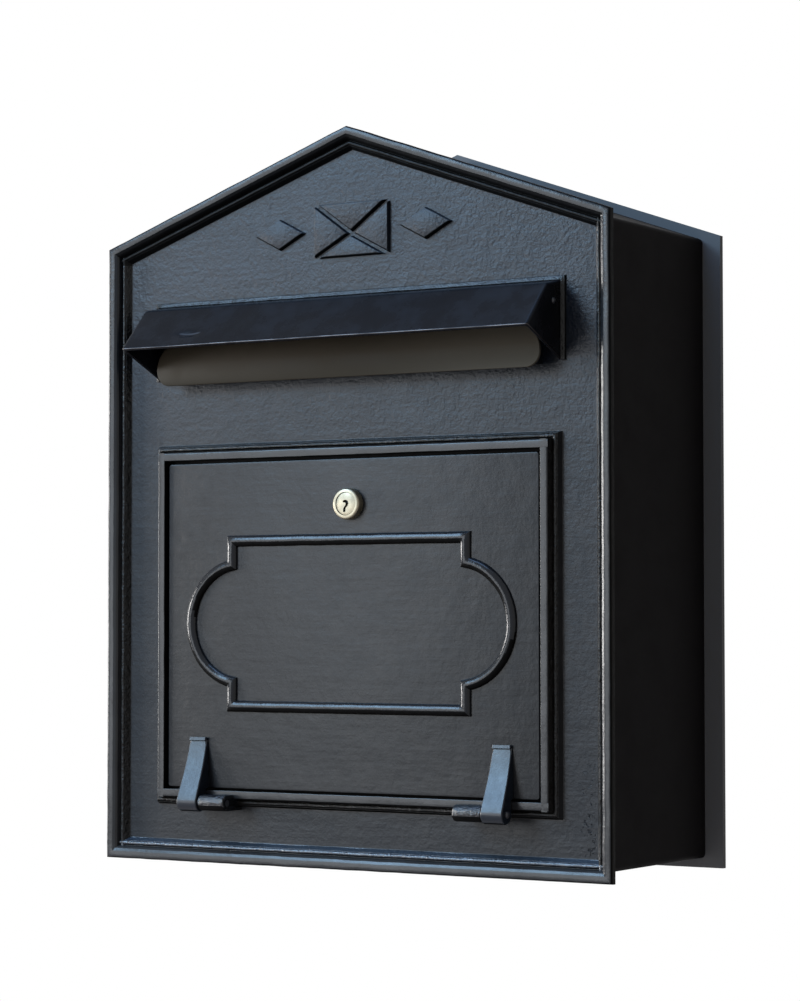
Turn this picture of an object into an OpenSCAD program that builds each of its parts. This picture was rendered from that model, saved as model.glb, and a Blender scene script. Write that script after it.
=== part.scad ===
// Wall mounted post box: a gabled cast front on a folded sheet box, with a drop-down collection
// door, a hooded letter slot and its hanging flap.
// The origin is on the wall, midway between the four fixing holes. X runs to the right as one
// faces the box, Y runs into the wall and Z runs up.
// Most pieces are drawn in face coordinates: x to the right, y up from the foot of the box and
// z standing out from the face of the rim, towards whoever stands before the box.

/* [Front casting] */
// Width of the cast front
front_w = 350; // [340:1:370]
// Height of the eaves above the foot of the box
eave_h = 374; // [365:1:400]
// Rise of the gable from the eaves to its peak
gable_rise = 61.5; // [45:0.5:80]
// Thickness of the rim where it laps the front of the box
rim_t = 4.5; // [3:0.5:6]
// Width of the flat band round the rim
rim_flat = 6.4; // [4:0.2:9]
// Width of the stepped moulding inside the flat band
rim_step = 6; // [5:0.2:8]
// Depth of the field behind the face of the rim
field_drop = 8; // [6:0.5:10]
// Thickness of the field
field_t = 4; // [3:0.5:6]
// Radius of the half-round bead in the mouldings
bead_r = 1.4; // [1:0.1:1.6]
// Radius of the corners of the casting
casting_r = 2; // [1:0.5:3]

/* [Box] */
// Depth from the face of the rim to the wall
box_d = 131; // [100:1:180]
// How far the rim laps past the sides of the box
lap = 5.5; // [4.5:0.5:8]
// Thickness of the sheet of the box
sheet_t = 1.5; // [1:0.1:2]
// Outside radius of the folds of the box
fold_r = 3; // [2.5:0.5:5]
// Thickness of the back panel
back_t = 2; // [1.5:0.5:4]
// How far the back panel stands past the front casting on each side
ear_w = 5.9; // [3:0.1:15]

/* [Wall fixing] */
// Distance between the fixing holes across the back
fix_w = 240; // [160:10:260]
// Distance between the fixing holes up the back
fix_h = 280; // [200:10:300]
// Height of the middle of the fixing holes above the foot of the box
fix_mid = 200; // [180:5:210]
// Diameter of each fixing hole
fix_hole_d = 8; // [6:0.5:10]

/* [Door opening] */
// Width of the door opening
open_w = 261.6; // [240:0.2:264]
// Height of the foot of the opening above the foot of the box
open_foot = 43.5; // [43:0.5:50]
// Height of the opening
open_h = 198.2; // [190:0.2:210]
// Width of the flat band round the opening
frame_flat = 4.7; // [3:0.1:6]
// Width of the stepped moulding outside the flat band
frame_step = 5.3; // [5:0.1:7]
// How far the flat band stands out past the face of the rim
frame_out = 0.8; // [0:0.1:2]
// Width of the ledge that the door closes against
ledge_w = 6; // [4:0.5:8]

/* [Door] */
// Gap at each side of the door
door_side_gap = 1.8; // [1:0.1:3]
// Gap above the door
door_top_gap = 1.9; // [1.2:0.1:3]
// Gap below the door
door_foot_gap = 1; // [0.6:0.1:2]
// Depth of the door's face behind the face of the rim
door_sunk = 1.4; // [1:0.1:2]
// Thickness of the door
door_t = 4; // [3:0.5:5]
// Half the width of the cartouche's straight part, to the middle of its bead
panel_x = 81.4; // [70:0.2:85]
// Height of the middle of the cartouche
panel_mid = 143.2; // [135:0.2:146]
// Half the height of the cartouche, to the middle of its bead
panel_y = 49.3; // [46:0.1:52]
// Half the height of each round end of the cartouche
bow_y = 34.9; // [28:0.1:38]
// How far each round end stands out sideways
bow_out = 30; // [22:0.5:33]
// Width of the cartouche's bead
panel_bead_w = 7; // [5:0.2:8]
// Height of the cartouche's bead
panel_bead_h = 2.9; // [2:0.1:3.4]

/* [Door hinge] */
// How far the hinge axis stands out from the face of the rim
hinge_out = 7; // [6.8:0.1:9]
// Height of the hinge axis above the foot of the box
hinge_y = 36.5; // [36:0.1:37]
// Diameter of the hinge pins
pin_d = 4; // [3:0.5:5]
// Sideways place of the middle of each hinge arm
arm_x = 105.5; // [95:0.5:112]
// Width of each hinge arm at its eye
arm_w = 14.2; // [12:0.2:16]
// Width of each hinge arm at its top
arm_top_w = 12.2; // [10:0.2:14]
// Height of the top of the hinge arms above the foot of the box
arm_top_y = 75; // [70:0.5:80]
// Thickness of the hinge arms at their top
arm_top_t = 1.8; // [1.4:0.1:2.4]
// Radius of the eye of each hinge arm
eye_r = 5.6; // [5.2:0.1:5.8]
// Radius of the nose of the fixed lugs
lug_r = 4.8; // [4:0.1:5.2]
// Length of the fixed lugs
lug_l = 19; // [14:0.5:24]

/* [Lock] */
// Sideways place of the lock
lock_x = 2.3; // [-10:0.1:10]
// Height of the lock above the foot of the box
lock_y = 213; // [211:0.5:215]
// Diameter of the lock's head
lock_head_d = 18.5; // [17:0.1:20]
// Thickness of the lock's head
lock_head_t = 4.9; // [3:0.1:6]
// Diameter of the lock's body
lock_body_d = 15.8; // [14:0.1:16]
// Width of the lock's body across its two flats
lock_flat_w = 13.8; // [13:0.1:14.5]
// Diameter of the plug that the key turns
plug_d = 11.6; // [10:0.1:12]
// Diameter of the disc at the front of the plug
plug_head_d = 13.6; // [12.6:0.1:14.4]
// How far the plug's disc lies behind the face of the lock's head
plug_sunk = 0.4; // [0.2:0.1:1]
// Reach of the cam from the axis of the lock
cam_reach = 34; // [32:0.5:38]
// Thickness of the cam
cam_t = 2; // [1.5:0.1:3]

/* [Hood] */
// Width of the hood at the field
hood_w = 281; // [276:1:282]
// Height of the top of the hood at the field
hood_top = 336.5; // [335.5:0.5:340]
// How far the brow stands out from the face of the rim
brow_out = 8.6; // [6:0.1:12]
// Height of the brow
brow_y = 333.2; // [330:0.1:336]
// How far the lip stands out from the face of the rim
lip_out = 31.8; // [28:0.2:38]
// Height of the lip
lip_y = 308.3; // [304:0.1:312]
// Height of the foot of the cheeks at the field
cheek_foot = 291.2; // [288:0.2:294]
// Thickness of the sheet of the hood
hood_t = 2; // [1.5:0.1:2.4]
// Bend radius of the brow, outside
brow_r = 6; // [3:0.5:8]
// Width of the raised rib round the foot of the hood
rib_w = 2.6; // [2:0.1:4]

/* [Letter slot] */
// Height of the foot of the slot above the foot of the box
slot_foot = 292.5; // [292:0.5:294]
// Height of the letter slot
slot_h = 27; // [22:0.5:27]
// Thickness of the raised wall round the slot
collar_t = 3; // [2:0.5:4]

/* [Letter flap] */
// Gap between the flap and each cheek of the hood
flap_side_gap = 5.1; // [3.5:0.1:6]
// How far the flap laps past the wall round the slot on each side
flap_lap = 5.4; // [4:0.1:8]
// Height of the foot of the flap
flap_foot = 287; // [284:0.5:288]
// Thickness of the flap
flap_t = 2; // [1.6:0.1:2.4]
// Height of the round shoulders of the flap, above which it is narrower
shoulder_y = 312; // [310:0.5:316]
// Radius of the shoulders of the flap
flap_top_r = 15; // [10:0.5:18]
// Radius of the lower corners of the flap
flap_foot_r = 9; // [3:0.5:10]
// How far the flap's rod stands out from the face of the rim
rod_out = 2.4; // [2:0.1:3]
// Height of the flap's rod
rod_y = 323.8; // [323.8:0.1:325]
// Diameter of the flap's rod
rod_d = 3.5; // [3:0.1:4]

/* [Fasteners] */
// Diameter of the screws in the brackets
bracket_screw_d = 5; // [4:1:6]
// Diameter of the screws in the hinge arms and the hood
small_screw_d = 4; // [3:0.5:4]
// Gap left round a pin or screw, and at a turning face
fit = 0.05; // [0.02:0.01:0.08]
// Gap left between pieces that move past each other
clear = 0.3; // [0.2:0.05:0.5]

/* [Hidden] */
$fn = 64;

cast_black = [0.16, 0.17, 0.19];
sheet_black = [0.08, 0.08, 0.09];
hood_black = [0.13, 0.14, 0.18];
nickel = [0.75, 0.74, 0.70];
zinc = [0.55, 0.56, 0.58];
flap_grey = [0.40, 0.38, 0.35];

// A length longer than any side of the box, for cutters and mouldings
run = 600;
// How far the ends of a drawn line are carried past a piece to cut it
overshoot = 20;
// Slack of the casting inside the box
tray_slack = 0.3;
// How far the middle of each moulding's bead lies under its shelf, and the sides it is made with
bead_sunk = 0.3;
bead_sides = 12;
// Depths of the two mouldings' shelves, as shares of the depth of the field
rim_shelf = 0.58;
frame_shelf = 0.56;
// Widths of the rim's slopes outside and inside its shelf
rim_fall = 1.2;
rim_foot = 1.8;
// Widths of the frame's slopes outside and inside its shelf
frame_foot = 1.6;
frame_rise = 0.8;
// Width of the flat left on top of the hood's rib
rib_flat = 0.4;

roof_a = atan(2 * gable_rise / front_w);
casting_back = field_drop + field_t;
box_back = box_d - back_t;
tray_inset = lap + sheet_t + tray_slack;
inner_fold_r = fold_r - sheet_t;

door_foot = open_foot + door_foot_gap;
door_w = open_w - 2 * door_side_gap;
door_h = open_h - door_foot_gap - door_top_gap;
door_back = door_sunk + door_t;
ledge_front = door_back + clear;
frame_w = frame_flat + frame_step;

// Lip at the top of each arm: its height, how far it stands out at its foot and at its top
arm_lip_h = 1.8;
arm_lip_out = 0.9;
arm_lip_top = 0.5;
arm_foot_gap = 0.6;
arm_screw_drop = 9;
arm_screw_pitch = 10;
arm_screw_y = [arm_top_y - arm_screw_drop - arm_screw_pitch, arm_top_y - arm_screw_drop];
arm_screw_bite = [3.6, 1.8];
pin_end = 0.6;
pin_dome = 1;
rod_end = 0.4;
rod_dome = 0.9;

// Distance from the inside of the box to the bosses, and from a boss to the free end of its bracket
boss_inset = 16;
bracket_end = 10;
boss_x = front_w / 2 - lap - sheet_t - boss_inset;
boss_r = 6;
boss_l = 5;
bracket_y_low = 60;
bracket_y_high = 320;
bracket_w = 20;
bracket_t = 2;
bracket_leg = 20;
bracket_front = casting_back + boss_l;
bracket_head_h = 3;
// Metal left in front of a blind hole, and the gap before the tip of its screw
blind_left = 1.5;
tip_gap = 0.4;

lock_tail = 1.2;
lock_back = casting_back + lock_tail;
cam_front = lock_back + clear;
cam_back = cam_front + cam_t;
cam_w = 13;
cam_square = 6;
nut_t = 3;
nut_across = 22;
plug_front = lock_head_t - door_sunk - plug_sunk;
plug_head_t = 1.6;
keyway_w = 1.6;
keyway_h = 7;
cam_screw_d = 3;
cam_screw_l = 5;
cam_head_r = 4.5;
cam_head_h = 2;

hood_screw_drop = 8;
hood_screw_y = hood_top - hood_screw_drop;
hood_screw_x = 100;
hood_tab_h = 14;
hood_tab_foot = hood_top - hood_tab_h;
min_bend_r = 0.5;
// Radius of a screw's head as a share of the diameter of its shank
head_ratio = 0.95;
small_head_r = small_screw_d * head_ratio;
small_head_h = 2.2;
small_nut_r = 4;
small_nut_h = 3;
thread_past = 1;

knuckle_wall = 1.2;
knuckle_r = rod_d / 2 + fit + knuckle_wall;
flap_front = rod_out + knuckle_r;
flap_back = flap_front - flap_t;
collar_front = flap_back - clear;
flap_w = hood_w - 2 * (hood_t + flap_side_gap);
flap_x = flap_w / 2;
knuckle_gap = 2;
slot_w = flap_w - 2 * (flap_lap + collar_t);

// Points and directions in a plane

function unit(v) = v / norm(v);
// Normal of the line from a to b, to its left
function left_of(a, b) = let (d = unit(b - a)) [-d[1], d[0]];
// Corner b of the line a, b, c after the line is moved to its left
function mitre(a, b, c, d) =
    let (m = left_of(a, b), n = left_of(b, c))
    b + d * (m + n) / (1 + m * n);
// Points along an arc about c
function arc(c, r, from, to, steps) =
    [for (i = [0 : steps]) let (t = from + (to - from) * i / steps) c + r * [cos(t), sin(t)]];
// Corner b of the line a, b, c rounded with radius r
function round_corner(a, b, c, r, steps) =
    let (
        u = unit(a - b),
        v = unit(c - b),
        half = acos(u * v) / 2,
        middle = b + unit(u + v) * r / sin(half),
        from = atan2(-v[1], -v[0]),
        p = b + u * r / tan(half) - middle,
        q = b + v * r / tan(half) - middle,
        start = atan2(p[1], p[0]),
        turn = atan2(p[0] * q[1] - p[1] * q[0], p * q)
    )
    arc(middle, r, start, start + turn, steps);

// Outline of the gabled front, moved inwards by inset
function gable(inset) =
    let (
        x = front_w / 2 - inset,
        eave = eave_h + inset * (tan(roof_a) - 1 / cos(roof_a)),
        peak = eave_h + gable_rise - inset / cos(roof_a)
    )
    [[-x, inset], [x, inset], [x, eave], [0, peak], [-x, eave]];

// Outline of the back panel: the front's, with an ear on each side under the same roof line
function back_outline() =
    let (x = front_w / 2 + ear_w, eave = eave_h - ear_w * tan(roof_a))
    [[-x, 0], [x, 0], [x, eave], [0, eave_h + gable_rise], [-x, eave]];

function rectangle(w, foot, h) = [[-w / 2, foot], [w / 2, foot], [w / 2, foot + h], [-w / 2, foot + h]];

// Moves what is drawn in face coordinates to its place before the wall
module face() {
    translate([0, -box_d, -fix_mid]) rotate([90, 0, 0]) children();
}

// Slab between two depths behind the face of the rim
module slab(front, back) {
    translate([0, 0, -back]) linear_extrude(height = back - front) children();
}

// Convex outline with true round corners, from its outline moved inwards by r
module rounded(inner, r) {
    n = len(inner);
    polygon([
        for (i = [0 : n - 1], end = [0, 1])
            inner[(i + end) % n] - r * left_of(inner[i], inner[(i + 1) % n])
    ]);
    for (p = inner) translate(p) circle(r = r);
}

// Long bar along edge i of an outline, with its section in x inwards and y outwards from the face
module along(outline, i) {
    p = outline[i];
    q = outline[(i + 1) % len(outline)];
    translate(p) rotate([0, 0, atan2(q[1] - p[1], q[0] - p[0])]) rotate([90, 0, 90])
        translate([0, 0, -run]) linear_extrude(height = 2 * run) children();
}

// Shape whose every side has the same section, mitred at the corners
module mitred(outline) {
    intersection_for (i = [0 : len(outline) - 1]) along(outline, i) children();
}

// Extrusion along X of a section drawn in x outwards from the face and y up
module across(from, to) {
    translate([to, 0, 0]) rotate([0, -90, 0]) linear_extrude(height = to - from) children();
}

// Round bar along X at a given height and standing out
module bar(r, from, to, y, out) {
    translate([from, y, out]) rotate([0, 90, 0]) cylinder(r = r, h = to - from);
}

// Low dome of radius r and height h on the plane z = 0
module dome(r, h) {
    ball = (r * r + h * h) / (2 * h);
    intersection() {
        translate([0, 0, h - ball]) sphere(r = ball);
        cylinder(r = r * 1.5, h = h);
    }
}

// Bead with a round back that follows a closed path on the plane z = 0
module bead(path, w, h) {
    n = len(path);
    sides = 8;
    sunk = 0.6;
    section = concat(
        [[-w / 2, -sunk]],
        [for (i = [0 : sides]) let (t = 180 - 180 * i / sides) [w / 2 * cos(t), h * sin(t)]],
        [[w / 2, -sunk]]
    );
    m = len(section);
    points = [
        for (i = [0 : n - 1], s = section)
            let (c = mitre(path[(i + n - 1) % n], path[i], path[(i + 1) % n], s[0]))
            [c[0], c[1], s[1]]
    ];
    faces = [
        for (i = [0 : n - 1], j = [0 : m - 1])
            let (k = (i + 1) % n, l = (j + 1) % m)
            [i * m + j, i * m + l, k * m + l, k * m + j]
    ];
    polyhedron(points = points, faces = faces, convexity = 6);
}

// Section of the air in front of the rim's moulding and the field
module rim_section() {
    foot = rim_flat + rim_step;
    shelf = field_drop * rim_shelf;
    start = rim_flat + rim_fall;
    end = foot - rim_foot;
    difference() {
        polygon([
            [rim_flat, run], [rim_flat, 0], [start, -shelf], [end, -shelf],
            [foot, -field_drop], [run, -field_drop], [run, run]
        ]);
        translate([(start + end) / 2, -shelf - bead_sunk]) circle(r = bead_r, $fn = bead_sides);
    }
}

// Section of the moulding round the door opening, from its outer foot inwards
module frame_section() {
    shelf = field_drop * frame_shelf;
    end = frame_step - frame_rise;
    polygon([
        [0, -field_drop - 1], [0, -field_drop], [frame_foot, -shelf], [end, -shelf],
        [frame_step, frame_out], [run, frame_out], [run, -field_drop - 1]
    ]);
    translate([(frame_foot + end) / 2, -shelf - bead_sunk]) circle(r = bead_r, $fn = bead_sides);
}

// Rib that the hood's foot stands inside, bevelled on its outer side
module hood_rib() {
    w = hood_w + 2 * rib_w;
    foot = cheek_foot;
    h = hood_top + rib_w - foot;
    bevel = rib_w - rib_flat;
    difference() {
        intersection() {
            mitred(rectangle(w, foot - run / 2, h + run / 2)) polygon([
                [0, -field_drop - 1], [0, -field_drop], [bevel, -field_drop + bevel],
                [run, -field_drop + bevel], [run, -field_drop - 1]
            ]);
            slab(0, field_drop + 1) translate([-w, foot]) square([2 * w, h + 1]);
        }
        slab(0, field_drop) translate([-hood_w / 2 - fit, foot - 1])
            square([hood_w + 2 * fit, hood_top - foot + 1 + fit]);
    }
}

// Raised wall at the foot and sides of the letter slot, open at the top for the flap's knuckle
module slot_collar() {
    w = slot_w + 2 * collar_t;
    translate([0, 0, -field_drop - 1]) linear_extrude(height = field_drop + 1 + collar_front)
        translate([-w / 2, slot_foot - collar_t]) square([w, slot_h + collar_t]);
}

// Fixed hinge lug with a round nose, cast in one with the front
module hinge_lug(from) {
    bar(lug_r, from, from + lug_l, hinge_y, hinge_out);
    translate([from, hinge_y - lug_r, -field_drop - 1])
        cube([lug_l, 2 * lug_r, hinge_out + field_drop + 1]);
}

module front_casting() {
    lug_in = arm_x - arm_w / 2 - clear - lug_l;
    color(cast_black) face() difference() {
        union() {
            difference() {
                union() {
                    slab(0, rim_t) rounded(gable(casting_r), casting_r);
                    slab(rim_t, casting_back) rounded(gable(tray_inset + inner_fold_r), inner_fold_r);
                }
                mitred(gable(0)) rim_section();
            }
            mitred(rectangle(open_w + 2 * frame_w, open_foot - frame_w, open_h + 2 * frame_w))
                frame_section();
            hood_rib();
            slot_collar();
            hinge_lug(lug_in);
            hinge_lug(-lug_in - lug_l);
            for (x = [-boss_x, boss_x], y = [bracket_y_low, bracket_y_high])
                translate([x, y, -bracket_front]) cylinder(r = boss_r, h = boss_l + 1);
        }
        slab(-2 * field_drop, ledge_front) polygon(rectangle(open_w, open_foot, open_h));
        slab(0, casting_back + 1)
            polygon(rectangle(open_w - 2 * ledge_w, open_foot + ledge_w, open_h - 2 * ledge_w));
        slab(-run / 2, casting_back + 1) polygon(rectangle(slot_w, slot_foot, slot_h + 1));
        bar(pin_d / 2 + fit, -front_w / 2, front_w / 2, hinge_y, hinge_out);
        for (x = [-boss_x, boss_x], y = [bracket_y_low, bracket_y_high])
            translate([x, y, -bracket_front - 1])
                cylinder(r = bracket_screw_d / 2 + fit, h = boss_l + field_t - blind_left + 1);
        for (x = [-hood_screw_x, 0, hood_screw_x])
            translate([x, hood_screw_y, -casting_back - 1])
                cylinder(r = small_screw_d / 2 + fit, h = field_t + 2);
    }
}

module box_body() {
    color(sheet_black) face() {
        difference() {
            slab(rim_t, box_back) rounded(gable(lap + fold_r), fold_r);
            slab(rim_t - 1, box_back + 1)
                rounded(gable(lap + fold_r), inner_fold_r);
        }
        difference() {
            slab(box_back - sheet_t, box_back) polygon(back_outline());
            slab(box_back - sheet_t - 1, box_back + 1) rounded(gable(lap + fold_r), inner_fold_r);
        }
    }
}

module back_panel() {
    color(sheet_black) face() difference() {
        slab(box_back, box_d) polygon(back_outline());
        for (x = [-1, 1], y = [-1, 1])
            translate([x * fix_w / 2, fix_mid + y * fix_h / 2, -box_d - 1])
                cylinder(r = fix_hole_d / 2, h = back_t + 2);
    }
}

// Outline of the hood from the side: x out from the face, y up
function hood_line(inset) =
    let (
        foot = [-field_drop, hood_top],
        brow = [brow_out, brow_y],
        lip = [lip_out, lip_y],
        far = lip + overshoot * unit(lip - brow),
        back = foot + overshoot * unit(foot - brow),
        a = foot + inset * left_of(brow, foot),
        b = mitre(lip, brow, foot, inset),
        c = lip + inset * left_of(lip, brow),
        r = max(brow_r - inset, min_bend_r)
    )
    inset == 0
        ? concat([c], round_corner(c, b, a, r, 6), [a])
        : concat([far + c - lip], round_corner(c, b, a, r, 6), [back + a - foot]);

module hood() {
    x = hood_w / 2;
    below = cheek_foot - overshoot;
    color(hood_black) face() difference() {
        union() {
            difference() {
                across(-x, x) polygon(concat(hood_line(0), [[-field_drop, cheek_foot]]));
                across(-x + hood_t, x - hood_t)
                    polygon(concat(hood_line(hood_t), [[-field_drop - 1, below], [lip_out, below]]));
            }
            slab(field_drop - hood_t, field_drop) polygon(rectangle(
                hood_w - 2 * hood_t, hood_tab_foot, hood_top - hood_t - hood_tab_foot));
        }
        for (x = [-hood_screw_x, 0, hood_screw_x])
            translate([x, hood_screw_y, -field_drop - 1])
                cylinder(r = small_screw_d / 2 + fit, h = hood_t + 2);
        bar(rod_d / 2 + fit, -hood_w, hood_w, rod_y, rod_out);
    }
}

// Three pan-headed screws through the hood's tab, driven from under the hood
module hood_screws() {
    head = -field_drop + hood_t;
    tip = -casting_back - small_nut_h - thread_past;
    color(zinc) face() for (x = [-hood_screw_x, 0, hood_screw_x]) {
        translate([x, hood_screw_y, head]) dome(small_head_r, small_head_h);
        translate([x, hood_screw_y, tip]) cylinder(r = small_screw_d / 2, h = head - tip);
    }
}

module hood_nuts() {
    color(zinc) face() for (x = [-hood_screw_x, 0, hood_screw_x])
        translate([x, hood_screw_y, -casting_back - small_nut_h]) difference() {
            cylinder(r = small_nut_r, h = small_nut_h, $fn = 6);
            translate([0, 0, -1]) cylinder(r = small_screw_d / 2 + fit, h = small_nut_h + 2);
        }
}

// Folded angle between the side of the box and a boss on the casting
module bracket(side, y) {
    wall = front_w / 2 - lap - sheet_t;
    color(zinc) face() mirror([side < 0 ? 1 : 0, 0, 0]) difference() {
        union() {
            slab(bracket_front, bracket_front + bracket_t)
                translate([boss_x - bracket_end, y - bracket_w / 2])
                    square([wall - boss_x + bracket_end, bracket_w]);
            slab(bracket_front, bracket_front + bracket_leg)
                translate([wall - bracket_t, y - bracket_w / 2]) square([bracket_t, bracket_w]);
        }
        translate([boss_x, y, -bracket_front - bracket_t - 1])
            cylinder(r = bracket_screw_d / 2 + fit, h = bracket_t + 2);
    }
}
module bracket_lower_left() { bracket(-1, bracket_y_low); }
module bracket_lower_right() { bracket(1, bracket_y_low); }
module bracket_upper_left() { bracket(-1, bracket_y_high); }
module bracket_upper_right() { bracket(1, bracket_y_high); }

module bracket_screws() {
    head_r = bracket_screw_d * head_ratio;
    h = bracket_t + boss_l + field_t - blind_left - tip_gap;
    color(zinc) face() for (x = [-boss_x, boss_x], y = [bracket_y_low, bracket_y_high])
        translate([x, y, -bracket_front - bracket_t]) {
            mirror([0, 0, 1]) dome(head_r, bracket_head_h);
            cylinder(r = bracket_screw_d / 2, h = h);
        }
}

// Pin through a fixed lug and the eye of an arm, with a domed end outside the arm
module hinge_pin(side) {
    from = arm_x - arm_w / 2 - clear - lug_l;
    to = arm_x + arm_w / 2 + pin_end;
    color(zinc) face() mirror([side < 0 ? 1 : 0, 0, 0]) {
        bar(pin_d / 2, from, to, hinge_y, hinge_out);
        translate([to, hinge_y, hinge_out]) rotate([0, 90, 0]) dome(pin_d / 2, pin_dome);
    }
}
module hinge_pin_left() { hinge_pin(-1); }
module hinge_pin_right() { hinge_pin(1); }

module flap_rod() {
    x = hood_w / 2 + rod_end;
    color(hood_black) face() {
        bar(rod_d / 2, -x, x, rod_y, rod_out);
        for (side = [0, 1]) mirror([side, 0, 0])
            translate([x, rod_y, rod_out]) rotate([0, 90, 0]) dome(rod_d / 2, rod_dome);
    }
}

// Flap of plate, rolled round its rod along the top
module letter_flap() {
    knuckle_x = flap_x - flap_top_r - knuckle_gap;
    color(flap_grey) face() difference() {
        union() {
            slab(-flap_front, -flap_back) {
                translate([-flap_x + flap_foot_r, flap_foot])
                    square([flap_w - 2 * flap_foot_r, rod_y - flap_foot]);
                translate([-flap_x, flap_foot + flap_foot_r])
                    square([flap_w, rod_y - flap_foot - flap_foot_r]);
                for (side = [-1, 1])
                    translate([side * (flap_x - flap_foot_r), flap_foot + flap_foot_r])
                        circle(r = flap_foot_r);
            }
            bar(knuckle_r, -knuckle_x, knuckle_x, rod_y, rod_out);
        }
        bar(rod_d / 2 + fit, -flap_w, flap_w, rod_y, rod_out);
        for (side = [-1, 1])
            translate([side * (flap_x - flap_top_r), shoulder_y - flap_top_r, flap_back - 1])
                linear_extrude(height = flap_t + 2) difference() {
                    translate([side > 0 ? 0 : -flap_top_r - 1, 0])
                        square([flap_top_r + 1, rod_y - shoulder_y + flap_top_r + 1]);
                    circle(r = flap_top_r);
                }
    }
}

// Middle line of the cartouche: a tall oblong with a round bow at each side
function panel_path() =
    let (
        r = (bow_y * bow_y + bow_out * bow_out) / (2 * bow_out),
        half = asin(bow_y / r),
        x = panel_x + bow_out - r,
        steps = 14
    )
    concat(
        [[-panel_x, panel_mid - panel_y], [panel_x, panel_mid - panel_y]],
        arc([x, panel_mid], r, -half, half, steps),
        [[panel_x, panel_mid + panel_y], [-panel_x, panel_mid + panel_y]],
        arc([-x, panel_mid], r, 180 - half, 180 + half, steps)
    );

// Round opening with two flats that keeps the lock's body from turning
module lock_opening(gap) {
    intersection() {
        circle(r = lock_body_d / 2 + gap);
        square([lock_body_d + 2, lock_flat_w + 2 * gap], center = true);
    }
}

module door_panel() {
    inner = rectangle(door_w - 2 * casting_r, door_foot + casting_r, door_h - 2 * casting_r);
    color(cast_black) face() difference() {
        union() {
            slab(door_sunk, door_back) rounded(inner, casting_r);
            translate([0, 0, -door_sunk]) bead(panel_path(), panel_bead_w, panel_bead_h);
        }
        slab(0, door_back + 1) translate([lock_x, lock_y]) lock_opening(fit);
        for (x = [-arm_x, arm_x], y = arm_screw_y)
            translate([x, y, -door_back - 1]) cylinder(r = small_screw_d / 2 + fit, h = door_t + 2);
    }
}

// Tangent point on the eye of the line from the top of an arm
function eye_tangent(top) =
    let (
        c = [hinge_out, hinge_y],
        d = norm(top - c),
        to_top = atan2(top[1] - c[1], top[0] - c[0]),
        t = to_top - acos(eye_r / d)
    )
    c + eye_r * [cos(t), sin(t)];

// Cast arm that stands on the door's face and swells to the eye of the hinge
module hinge_arm(side) {
    out = -door_sunk + arm_top_t;
    top = [out, arm_top_y];
    back = hinge_out - eye_r;
    color(cast_black) face() mirror([side < 0 ? 1 : 0, 0, 0]) difference() {
        intersection() {
            union() {
                across(arm_x - arm_w / 2, arm_x + arm_w / 2) polygon([
                    [-door_sunk, arm_top_y], top, eye_tangent(top), [hinge_out, hinge_y],
                    [back, hinge_y], [back, open_foot + arm_foot_gap],
                    [-door_sunk, door_foot + arm_foot_gap]
                ]);
                bar(eye_r, arm_x - arm_w / 2, arm_x + arm_w / 2, hinge_y, hinge_out);
                across(arm_x - arm_w / 2, arm_x + arm_w / 2)
                    polygon([
                        [-door_sunk, arm_top_y], [-door_sunk, arm_top_y - arm_lip_h],
                        [out + arm_lip_out, arm_top_y - arm_lip_h], [out + arm_lip_top, arm_top_y]
                    ]);
            }
            translate([arm_x, 0, -field_drop]) linear_extrude(height = 2 * field_drop + hinge_out)
                polygon([
                    [-arm_w / 2, 0], [arm_w / 2, 0], [arm_w / 2, hinge_y + eye_r],
                    [arm_top_w / 2, arm_top_y], [-arm_top_w / 2, arm_top_y], [-arm_w / 2, hinge_y + eye_r]
                ]);
        }
        bar(pin_d / 2 + fit, arm_x - arm_w, arm_x + arm_w, hinge_y, hinge_out);
        for (i = [0, 1])
            translate([arm_x, arm_screw_y[i], -door_sunk - 1])
                cylinder(r = small_screw_d / 2 + fit, h = arm_screw_bite[i] + tip_gap + 1);
    }
}
module hinge_arm_left() { hinge_arm(-1); }
module hinge_arm_right() { hinge_arm(1); }

module arm_screws() {
    color(zinc) face() for (x = [-arm_x, arm_x], i = [0, 1])
        translate([x, arm_screw_y[i], -door_back]) {
            mirror([0, 0, 1]) dome(small_head_r, small_head_h);
            cylinder(r = small_screw_d / 2, h = door_t + arm_screw_bite[i]);
        }
}

module lock_housing() {
    color(nickel) face() translate([lock_x, lock_y, 0]) difference() {
        union() {
            translate([0, 0, -door_sunk]) cylinder(r = lock_head_d / 2, h = lock_head_t);
            slab(door_sunk, lock_back) lock_opening(0);
        }
        translate([0, 0, -lock_back - 1]) cylinder(r = plug_d / 2 + fit, h = lock_back + lock_head_t + 1);
        translate([0, 0, plug_front - plug_head_t - fit])
            cylinder(r = plug_head_d / 2 + fit, h = plug_head_t + 1);
    }
}

module lock_nut() {
    color(nickel) face() translate([lock_x, lock_y, -door_back - nut_t]) difference() {
        cylinder(r = nut_across / sqrt(3), h = nut_t, $fn = 6);
        translate([0, 0, -1]) cylinder(r = lock_body_d / 2 + fit, h = nut_t + 2);
    }
}

module lock_plug() {
    color(nickel) face() translate([lock_x, lock_y, 0]) difference() {
        union() {
            translate([0, 0, -cam_front]) cylinder(r = plug_d / 2, h = cam_front + plug_front);
            translate([0, 0, plug_front - plug_head_t]) cylinder(r = plug_head_d / 2, h = plug_head_t);
            slab(cam_front, cam_back) square(cam_square, center = true);
        }
        slab(-lock_head_t, 0) square([keyway_w, keyway_h], center = true);
        translate([0, 0, -cam_back - 1]) cylinder(r = cam_screw_d / 2 + fit, h = cam_screw_l + 2);
    }
}

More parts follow.
